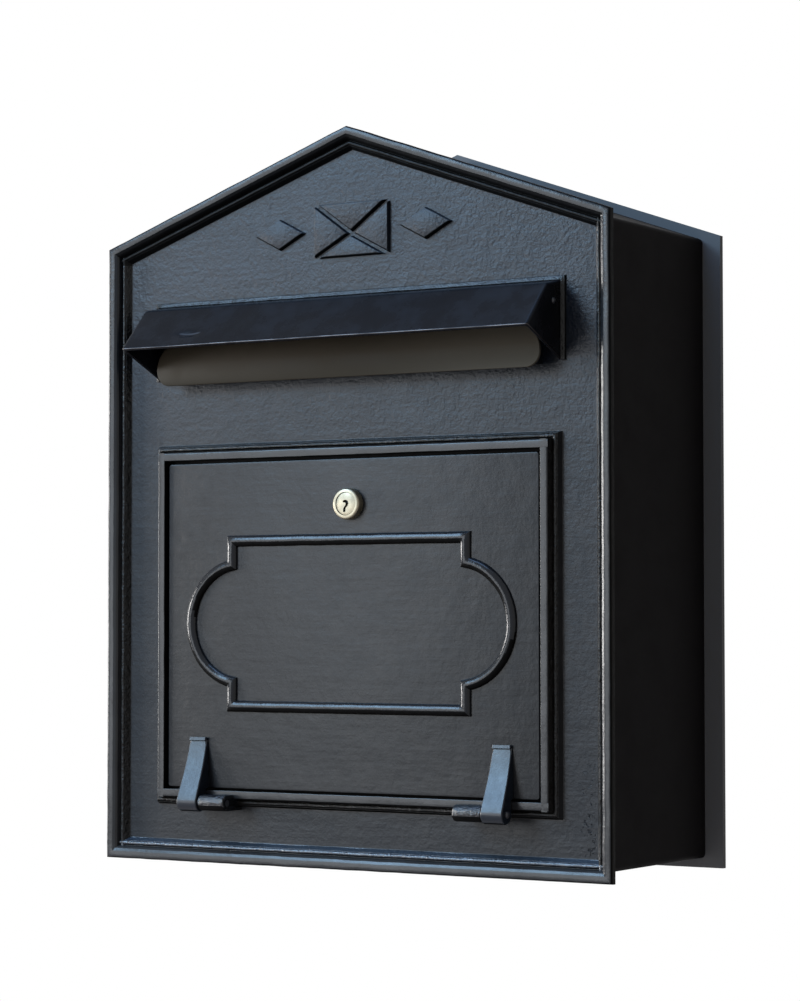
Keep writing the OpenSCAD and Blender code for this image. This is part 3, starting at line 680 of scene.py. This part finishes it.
# %% The slot's wall and the hood's rib
wall_section = [(0.0, FIELD - 0.5)] + [tuple(p) for p in soften(
    [(0.0, -3.0), (0.0, COLLAR_OUT), (COLLAR_T, COLLAR_OUT), (COLLAR_T, -3.0)], 0.7)] + [
    (COLLAR_T, FIELD - 0.5)]
wall_x = SLOT_X + COLLAR_T
wall_path = [Vector(p) for p in ((-wall_x, SLOT_TOP), (-wall_x, SLOT_FOOT - COLLAR_T),
                                 (wall_x, SLOT_FOOT - COLLAR_T), (wall_x, SLOT_TOP))]
sweep(front, wall_path, wall_section, closed=False)
rib_section = [(0.0, FIELD - 0.5)] + [tuple(p) for p in soften(
    [(0.0, FIELD), (0.4, FIELD + 1.4), (RIB_W - 0.05, FIELD + 2.1)], 0.4)] + [
    (RIB_W - 0.05, FIELD - 0.5)]
rib_x, rib_top = HOOD_X + RIB_W, HOOD_TOP + RIB_W
rib_path = [Vector(p) for p in ((rib_x, CHEEK_FOOT), (rib_x, rib_top), (-rib_x, rib_top),
                                (-rib_x, CHEEK_FOOT))]
# The rib, in the hood's shade, wears the rough paint, partly dirt and partly painted shade.
sweep(front, subdivided(rib_path, STRIDE, closed=False), rib_section, closed=False, wobble=0.12,
      finish_at=lambda u, w: ROUGH_DIRT_AND_SHADE)
print("with slot wall and rib:", len(front.faces), "faces")

# %% [markdown]
# Each hinge lug is a bar with a round nose that grows out of the frame. It has a bore for the
# pin. Behind the field stand four round bosses for the bracket screws.

# %% Lugs and bosses


def rounded_ends(start, end, radius):
    steps = []
    for k in range(4):
        turn = math.pi / 2 * k / 3
        steps.append((radius * (1 - math.sin(turn)), start + radius * (1 - math.cos(turn))))
    return steps + [(inset, end + start - depth) for inset, depth in reversed(steps)]


nose = [Vector((HINGE_OUT + LUG_R * math.sin(t), HINGE_Y - LUG_R * math.cos(t)))
        for t in (math.pi * i / 20 for i in range(21))]
lug_outline = [Vector((FIELD - 0.5, HINGE_Y - LUG_R))] + nose
lug_outline.append(Vector((FIELD - 0.5, HINGE_Y + LUG_R)))
LUG_IN = ARM_X - ARM_W / 2 - CLEAR - LUG_L
before_lugs = len(front.faces)
for start in (LUG_IN, -LUG_IN - LUG_L):
    plate(front, lug_outline, rounded_ends(start, start + LUG_L, 0.9),
          holes=(ring(HINGE_OUT, HINGE_Y, PIN_R + 0.05, 24),), place=sideways)
front.faces.ensure_lookup_table()
for face in front.faces[before_lugs:]:
    face.material_index = LUG
BOSS_X, BOSS_LOW, BOSS_HIGH, BOSS_R, BOSS_L = 152.0, 60.0, 320.0, 6.0, 5.0
for x in (-BOSS_X, BOSS_X):
    for y in (BOSS_LOW, BOSS_HIGH):
        plate(front, ring(x, y, BOSS_R, 32), [(0, CASTING_BACK + 0.5), (0, CASTING_BACK - BOSS_L)])
piece(front, "dressed_front", "box", FRONT_FINISHES, ("front_casting",),
      shade_with=painted_shade)

# %% [markdown]
# ## The emblem in the gable
#
# The place above the hood carries a raised sign of plain shapes: an envelope made of the four
# panels that its folds divide it into, with a slim lozenge at each side. Each shape is a low
# plate whose sides lean in, as a pattern must to leave the sand.

# %% The emblem
EMBLEM_Y, EMBLEM_H, ENVELOPE_W, RELIEF, DRAFT = 375.0, 34.0, 54.0, 2.6, 0.7
FOLD_DROP, GROOVE = 2.5, 0.9
LOZENGE_X, LOZENGE_HALF_W, LOZENGE_HALF_H = 51.0, 18, 9.5
emblem = bmesh.new()


def raised(outline):
    steps = [(0, FIELD - 0.5), (0, FIELD), (DRAFT * 0.7, FIELD + RELIEF - 0.6),
             (DRAFT, FIELD + RELIEF - 0.18), (DRAFT + 0.45, FIELD + RELIEF)]
    plate(emblem, outline, steps)


right, up = ENVELOPE_W / 2, EMBLEM_H / 2
centre = Vector((0, EMBLEM_Y))
corners = [centre + Vector(p) for p in ((-right, -up), (right, -up), (right, up), (-right, up))]
fold = centre + Vector((0, -FOLD_DROP))
for first, second in ((0, 1), (1, 2), (2, 3), (3, 0)):
    panel = [corners[first], corners[second], fold]
    raised([p + GROOVE * m for p, m in zip(panel, mitres(panel))])
for side in (-1, 1):
    middle = centre + Vector((side * LOZENGE_X, 0))
    raised([middle + Vector(p) for p in ((-LOZENGE_HALF_W, 0), (0, -LOZENGE_HALF_H),
                                         (LOZENGE_HALF_W, 0), (0, LOZENGE_HALF_H))])
piece(emblem, "gable_emblem", "box", (cast_paint, painted_shade), shade_with=painted_shade)

# %% [markdown]
# ## The door
#
# The door is a flat casting with soft corners. Its ornament is a raised bead round a tall
# oblong with a bow at each side. The bead is one half-round section swept along that line. The
# line is drawn from two straight runs and two arcs, so the bead keeps its width everywhere. BEAD
# is the number of its finish among the door's.

# %% The door panel and its bead
DOOR_R, DOOR_EDGE = 2.0, 0.6
BEAD = 1
door = bmesh.new()
door_outline = soften([tuple(p) for p in oblong(DOOR_X, DOOR_FOOT, DOOR_TOP)], DOOR_R, 6,
                      closed=True)
door_steps = [(0.5, DOOR_BACK), (0, DOOR_BACK + 0.5)]
for k in range(5):
    turn = math.pi / 2 * k / 4
    door_steps.append((DOOR_EDGE * (1 - math.cos(turn)),
                       DOOR_FACE - DOOR_EDGE * (1 - math.sin(turn))))
plate(door, door_outline, door_steps, holes=(ring(LOCK_X, LOCK_Y, 7.9),))

PANEL_X, PANEL_MID, PANEL_Y, BOW_Y, BOW_OUT = 81.4, 143.2, 49.3, 34.9, 30.0
bow_r = (BOW_Y ** 2 + BOW_OUT ** 2) / (2 * BOW_OUT)
bow_half = math.asin(BOW_Y / bow_r)
bow_x = PANEL_X + BOW_OUT - bow_r


def bow(side):
    turns = [bow_half * (k / 24 * 2 - 1) + (0 if side > 0 else math.pi) for k in range(25)]
    return [Vector((side * bow_x + bow_r * math.cos(t), PANEL_MID + bow_r * math.sin(t)))
            for t in turns]


low_side, high_side = PANEL_MID - PANEL_Y, PANEL_MID + PANEL_Y
bead_path = [Vector((-PANEL_X, low_side)), Vector((PANEL_X, low_side))] + bow(1)
bead_path += [Vector((PANEL_X, high_side)), Vector((-PANEL_X, high_side))] + bow(-1)
BEAD_W, BEAD_H = 6.8, 2.9
bead_section = [(-BEAD_W / 2 - 0.5, DOOR_FACE - 0.5)]
for k in range(17):
    turn = math.pi * (1 - k / 16)
    bead_section.append((BEAD_W / 2 * math.cos(turn), DOOR_FACE - 0.05 + BEAD_H * math.sin(turn)))
bead_section.append((BEAD_W / 2 + 0.5, DOOR_FACE - 0.5))
sweep(door, subdivided(bead_path, 4.0), bead_section, wobble=0.16, finish_at=lambda u, w: BEAD)
piece(door, "dressed_door", "door", (door_paint, bead_paint, painted_shade),
      ("door_panel",), shade_with=painted_shade, shade_below=-0.12)

# %% [markdown]
# ## The hinge arms
#
# Each arm is a small casting that starts thin on the door's face and swells to a round eye.
# Its side view is the outline here, and it is carried across the arm's width, which narrows
# towards the top. The thin lip at the top catches the light.

# %% The arms
ARM_HOLLOW = 0.9


def arm_outline():
    top = Vector((DOOR_FACE + ARM_TOP_T, ARM_TOP))
    eye = Vector((HINGE_OUT, HINGE_Y))
    away = top - eye
    turn = math.atan2(away.y, away.x) - math.acos(EYE_R / away.length)
    points = [Vector((DOOR_FACE - 0.2, ARM_TOP)), Vector((DOOR_FACE - 0.2, DOOR_FOOT + 0.6)),
              Vector((HINGE_OUT - EYE_R, OPEN_FOOT + 0.6))]
    whole_turn = turn + math.pi
    for k in range(25):
        t = math.pi + whole_turn * k / 24
        points.append(eye + EYE_R * Vector((math.cos(t), math.sin(t))))
    start, end = points[-1], top - Vector((0.5, 2.2))
    slope = [start.lerp(end, k / 12) for k in range(1, 13)]
    slope = [p - Vector((ARM_HOLLOW * math.sin(math.pi * (k / 12) ** 1.3), 0))
             for k, p in enumerate(slope, 1)]
    lip = [Vector((DOOR_FACE + ARM_TOP_T + 0.9, ARM_TOP - 1.8)),
           Vector((DOOR_FACE + ARM_TOP_T + 0.5, ARM_TOP))]
    return points + slope + lip


def arm(side):
    bm = bmesh.new()

    def place(out, y, across):
        share = min(max((y - HINGE_Y - EYE_R) / (ARM_TOP - HINGE_Y - EYE_R), 0), 1)
        half = (ARM_W + (ARM_TOP_W - ARM_W) * share) / 2
        if ARM_TOP - 2.3 < y < ARM_TOP - 2.0:
            half -= 0.5
        return at(side * ARM_X + across * half, y, out)

    steps = [(0.6, -1.0), (0.2, -0.97), (0.0, -0.91), (0.0, 0.91), (0.2, 0.97), (0.6, 1.0)]
    plate(bm, arm_outline(), steps, place=place)
    name = "arm_left" if side < 0 else "arm_right"
    piece(bm, "dressed_" + name, "door", (arm_paint, painted_shade), ("hinge_" + name,),
          crisp=15, shade_with=painted_shade, shade_below=-0.8)


for side in (-1, 1):
    arm(side)

# %% [markdown]
# ## The hood
#
# The hood is one sheet: a narrow top, a long slope and two cheeks, with rounded folds. Its
# outer skin is drawn as a strip with a cheek at each end, and a thickness is then given
# inwards. The strip has enough columns to carry one small dent and the slight waves of hand
# folding. Its outer edges are cut a little, and the cut wears the finish numbered WORN.

# %% The hood
HOOD_COLUMNS, SLOPE_ROWS = 140, 24
FOLD_R, WORN_W, WORN = 1.6, 0.35, 1
TAB_H, DENT_DEPTH = 14, 0.8
brow_line = soften([(FIELD, HOOD_TOP), BROW, LIP], 5.0, 8)
dent_x, dent_out, dent_y = -97.0, 25.0, 315.6
hood = bmesh.new()
columns = []
for i in range(HOOD_COLUMNS + 1):
    x = -HOOD_X + 2 * HOOD_X * i / HOOD_COLUMNS
    column = []
    slope = [brow_line[-2].lerp(brow_line[-1], k / SLOPE_ROWS) for k in range(1, SLOPE_ROWS + 1)]
    for out, y in [tuple(p) for p in brow_line[:-1] + slope]:
        point = at(x, y, out)
        near = math.exp(-((x - dent_x) / 7) ** 2 - ((y - dent_y) / 1.5) ** 2)
        sink = DENT_DEPTH * near * MM
        settle = wander(point, 0.25, 60.0) if 0 < i < HOOD_COLUMNS else Vector()
        column.append(hood.verts.new(inside(point + settle + Vector((0, sink, -sink)))))
    columns.append(column)
for a, b in zip(columns, columns[1:]):
    for j in range(len(a) - 1):
        hood.faces.new((a[j], a[j + 1], b[j + 1], b[j]))
folds = []
for column, x in ((columns[0], -HOOD_X), (columns[-1], HOOD_X)):
    heel = hood.verts.new(at(x, CHEEK_FOOT, FIELD))
    hood.faces.new(column + [heel])
    folds += [(a, b) for a, b in zip(column, column[1:])]
hood.edges.ensure_lookup_table()
fold_edges = [e for a, b in folds for e in [hood.edges.get((a, b))] if e]
bmesh.ops.recalc_face_normals(hood, faces=hood.faces)
if sum(f.normal.z * f.calc_area() for f in hood.faces) < 0:
    bmesh.ops.reverse_faces(hood, faces=hood.faces)
bmesh.ops.bevel(hood, geom=fold_edges, offset=FOLD_R * MM, segments=4, profile=0.5,
                affect="EDGES", clamp_overlap=False)
hood_mesh = bpy.data.meshes.new("dressed_hood")
hood.to_mesh(hood_mesh)
hood.free()
for polygon in hood_mesh.polygons:
    polygon.use_smooth = True
hood_mesh.set_sharp_from_angle(angle=math.radians(40))
hood_mesh.materials.append(hood_paint)
hood_mesh.materials.append(worn_edge)
hood_piece = bpy.data.objects.new("dressed_hood", hood_mesh)
bpy.context.scene.collection.objects.link(hood_piece)
sheet = hood_piece.modifiers.new("thickness", "SOLIDIFY")
sheet.thickness = HOOD_T * MM
sheet.offset = -1
sheet.use_even_offset = True
rounding = hood_piece.modifiers.new("edges", "BEVEL")
rounding.width = WORN_W * MM
rounding.segments = 1
rounding.use_clamp_overlap = False
rounding.limit_method = "ANGLE"
rounding.angle_limit = math.radians(60)
rounding.material = WORN
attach(hood_piece, "box")
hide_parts("hood")
tab = bmesh.new()
plate(tab, oblong(HOOD_X - HOOD_T, HOOD_TOP - TAB_H, HOOD_TOP - 2.2),
      [(0, FIELD), (0, FIELD + HOOD_T - 0.3), (0.3, FIELD + HOOD_T)])
piece(tab, "hood_tab", "box", (hood_paint,))
print("hood:", len(hood_mesh.polygons), "faces")

# %% [markdown]
# ## The letter flap
#
# The flap is a plate with rounded corners, rolled round its rod along the top. Its lower edge
# hangs in front of the slot's wall. Plate and knuckle are two short solids here.

# %% The flap
flap = bmesh.new()


def quarter(x, y, radius, start):
    turns = (math.radians(start + 90 * k / 10) for k in range(11))
    return [Vector((x + radius * math.cos(t), y + radius * math.sin(t))) for t in turns]


def flap_outline():
    foot_r, top_r, shoulder = 9.0, 15.0, 312.0
    points = quarter(FLAP_X - foot_r, FLAP_FOOT + foot_r, foot_r, -90)
    points += quarter(FLAP_X - top_r, shoulder - top_r, top_r, 0)
    neck = FLAP_X - top_r
    points += [Vector((neck, ROD_Y)), Vector((-neck, ROD_Y))]
    points += quarter(top_r - FLAP_X, shoulder - top_r, top_r, 90)
    points += quarter(foot_r - FLAP_X, FLAP_FOOT + foot_r, foot_r, 180)
    return points


flap_back = FLAP_FRONT - FLAP_T
plate(flap, flap_outline(), [(0.3, flap_back), (0, flap_back + 0.3), (0, FLAP_FRONT - 0.5),
                             (0.15, FLAP_FRONT - 0.15), (0.5, FLAP_FRONT)])
KNUCKLE_X = FLAP_X - 17.0
plate(flap, ring(ROD_OUT, ROD_Y, KNUCKLE_R, 40), rounded_ends(-KNUCKLE_X, KNUCKLE_X, 0.4),
      holes=(ring(ROD_OUT, ROD_Y, ROD_R + 0.05, 24),), place=sideways)
piece(flap, "dressed_flap", "flap", (flap_paint,), ("letter_flap",))

# %% [markdown]
# ## The lock
#
# A cam lock is turned on a lathe: a round head with a soft edge, a shallow well and, in the
# well, the disc of the plug with its keyway. Head and plug are outlines carried through
# steps, as a lathe would cut them. The keyway is a real slot; its floor is a thin black disc,
# a painted shadow.

# %% The lock
HEAD_R, HEAD_FACE, WELL_R, PLUG_FACE, LOCK_BACK = 9.25, 3.5, 6.85, 3.1, -13.2


def turned(bm, radius, steps, holes=()):
    plate(bm, ring(LOCK_X, LOCK_Y, radius, 72), steps, holes)


housing = bmesh.new()
head_steps = [(0, DOOR_FACE), (0, 1.3)]
for k in range(1, 7):
    turn = math.pi / 2 * k / 6
    head_steps.append((1.2 * (1 - math.cos(turn)), 1.3 + 2.2 * math.sin(turn)))
turned(housing, HEAD_R, head_steps, holes=(ring(LOCK_X, LOCK_Y, WELL_R, 72),))
body_holes = (ring(LOCK_X, LOCK_Y, 5.85, 48),)
turned(housing, WELL_R + 0.6, [(0, DOOR_FACE + 0.1), (0, 1.45)], body_holes)
turned(housing, 7.6, [(0.3, LOCK_BACK), (0, LOCK_BACK + 0.3), (0, DOOR_FACE)], body_holes)
piece(housing, "dressed_lock_housing", "door", (nickel,), ("lock_housing",),
      crisp=30)

plug = bmesh.new()
keyway = [Vector((LOCK_X + x, LOCK_Y + y)) for x, y in (
    (-1.0, -5.0), (-0.1, -4.7), (0.0, -2.6), (1.4, -1.2), (2.0, 0.2), (1.5, 1.7), (0.3, 2.3),
    (-1.1, 2.2), (-2.0, 1.6), (-1.8, 0.8), (-0.5, 0.7), (0.0, 0.3), (0.0, -0.5), (-1.1, -1.9),
    (-1.7, -3.1), (-1.8, -4.7))]
turned(plug, 6.75, [(0, 1.55), (0, 2.7), (0.15, 3.0), (0.45, PLUG_FACE)], holes=(keyway,))
turned(plug, 5.75, [(0, -13.5), (0, 1.5)])
square = [Vector((LOCK_X + x, LOCK_Y + y)) for x, y in ((-3, -3), (3, -3), (3, 3), (-3, 3))]
plate(plug, square, [(0, -15.5), (0, -13.4)])
piece(plug, "dressed_lock_plug", "lock", (nickel,), ("lock_plug",), crisp=30)
# A thin black disc at the floor of the keyway is a painted shadow.
keyway_shadow_disc = bmesh.new()
turned(keyway_shadow_disc, 5.7, [(0, 1.52), (0, 1.7)])
piece(keyway_shadow_disc, "keyway_painted_shadow", "lock", (keyway_shadow_paint,))

# %% [markdown]
# ## Finishes for the carried-over solids
#
# The other solids already have their true shape. Each one only takes its finish.

# %% Carried-over solids
FINISHES = {
    "box_body": body_paint, "back_panel": body_paint, "flap_rod": rod_paint,
    "hinge_pin_left": rod_paint, "hinge_pin_right": rod_paint, "lock_nut": nickel,
}
for name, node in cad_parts.items():
    finish = FINISHES.get(name, zinc)
    node.data.materials.clear()
    node.data.materials.append(finish)
print("finished solids:", len(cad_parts))

# %% [markdown]
# ## The floor
#
# The box hangs as on its wall, a little above a pale floor. The floor's own colour is warm,
# because the light of the lamps is blue and the two together look nearly grey.

# %% The floor
FLOOR_DROP, FLOOR_SIDE, FLOOR_FRONT, FLOOR_BACK = 0.2, 0.85, -1.1, 0.15
floor_mesh = bpy.data.meshes.new("floor")
floor_z = FOOT - FLOOR_DROP
floor_corners = [(-FLOOR_SIDE, FLOOR_FRONT), (FLOOR_SIDE, FLOOR_FRONT), (FLOOR_SIDE, FLOOR_BACK),
                 (-FLOOR_SIDE, FLOOR_BACK)]
floor_mesh.from_pydata([(x, y, floor_z) for x, y in floor_corners], [], [(0, 1, 2, 3)])
floor = bpy.data.objects.new("floor", floor_mesh)
bpy.context.scene.collection.objects.link(floor)
pale = Finish("pale floor", Roughness=0.9, Specular_IOR_Level=0.1)
pale.paint("Base Color", pale.blend((pale.cloud(300.0) + 0.5) * 0.1, (0.80, 0.60, 0.49),
                                    (0.76, 0.57, 0.465)))
floor_mesh.materials.append(pale.material)
print("floor at", round(floor_z, 3))

# %% [markdown]
# ## The lamps and the world
#
# Dark satin paint shows little but what it mirrors, so the lamps stand where the photo's paint
# mirrors them: a window on the left, bluer ones above it up to the zenith, a far window that
# lights the edges from the side, and a faint warm one below for the garden. The world is white
# to the camera and in reflections, and dim as a light.

# %% The lamps and the world


def lamp(name, side, height, away, size, glow, color):
    """A square lamp: degrees to the left, degrees up, metres away, and its glow beside white."""
    light = bpy.data.lights.new(name, "AREA")
    light.shape = "SQUARE"
    light.size = size
    light.energy = glow * math.pi * size * size
    light.color = color
    made = bpy.data.objects.new(name, light)
    left, up = math.radians(side), math.radians(height)
    aim = Vector((-math.sin(left) * math.cos(up), -math.cos(left) * math.cos(up), math.sin(up)))
    made.location = Vector((0, FACE_Y, 0)) + away * aim
    made.rotation_mode = "QUATERNION"
    made.rotation_quaternion = (-aim).to_track_quat("-Z", "Y")
    bpy.context.scene.collection.objects.link(made)


lamp("window", 30, 4, 2.6, 1.2, 5.9, (0.91, 0.95, 1.0))
lamp("high window", 35, 23, 2.2, 0.7, 20.0, (0.46, 0.73, 1.0))
lamp("sky", 39, 38, 2.2, 0.8, 18.0, (0.40, 0.66, 1.0))
lamp("zenith", 20, 72, 1.6, 0.8, 8.0, (0.28, 0.53, 1.0))
lamp("far window", 74, 2, 2.2, 0.6, 36.0, (1.0, 0.98, 0.96))
lamp("garden", 25, -18, 2.2, 1.0, 0.5, (1.0, 0.86, 0.66))

world = bpy.data.worlds.new("studio")
bpy.context.scene.world = world
world.use_nodes = True
tree = world.node_tree
background = tree.nodes["Background"]
background.inputs["Color"].default_value = (1, 1, 1, 1)
rays = tree.nodes.new("ShaderNodeLightPath")
seen = rays.outputs["Is Camera Ray"]
for output in ("Is Glossy Ray", "Is Transmission Ray"):
    either = tree.nodes.new("ShaderNodeMath")
    either.operation = "MAXIMUM"
    tree.links.new(seen, either.inputs[0])
    tree.links.new(rays.outputs[output], either.inputs[1])
    seen = either.outputs[0]
DIM, FULL = 0.3, 1.0
strength = tree.nodes.new("ShaderNodeMapRange")
strength.inputs["To Min"].default_value = DIM
strength.inputs["To Max"].default_value = FULL
tree.links.new(seen, strength.inputs["Value"])
tree.links.new(strength.outputs[0], background.inputs["Strength"])
print("lamps:", ", ".join(sorted(light.name for light in bpy.data.lights)))

# %% [markdown]
# ## The camera
#
# The camera was found from the corners of the box in the photo. It stands to the right and a
# little below the middle, and its long lens keeps the sides of the box nearly parallel.

# %% The camera
YAW, PITCH, ROLL = math.radians(32.175), math.radians(2.365), math.radians(0.02)
FOCAL_PX, LONG_SIDE_PX, SENSOR = 2876.3, 1001, 36.0
CAMERA_AT = (920.77, 145.70, 1403.45)
camera_data = bpy.data.cameras.new("camera")
camera_data.sensor_width = SENSOR
camera_data.lens = FOCAL_PX / LONG_SIDE_PX * SENSOR
camera = bpy.data.objects.new("camera", camera_data)
camera.location = at(*CAMERA_AT)
camera.rotation_euler = (math.pi / 2 + PITCH, ROLL, YAW)
bpy.context.scene.collection.objects.link(camera)
bpy.context.scene.camera = camera
bpy.context.scene.view_settings.view_transform = "Standard"
print("lens", round(camera_data.lens, 2), "mm")
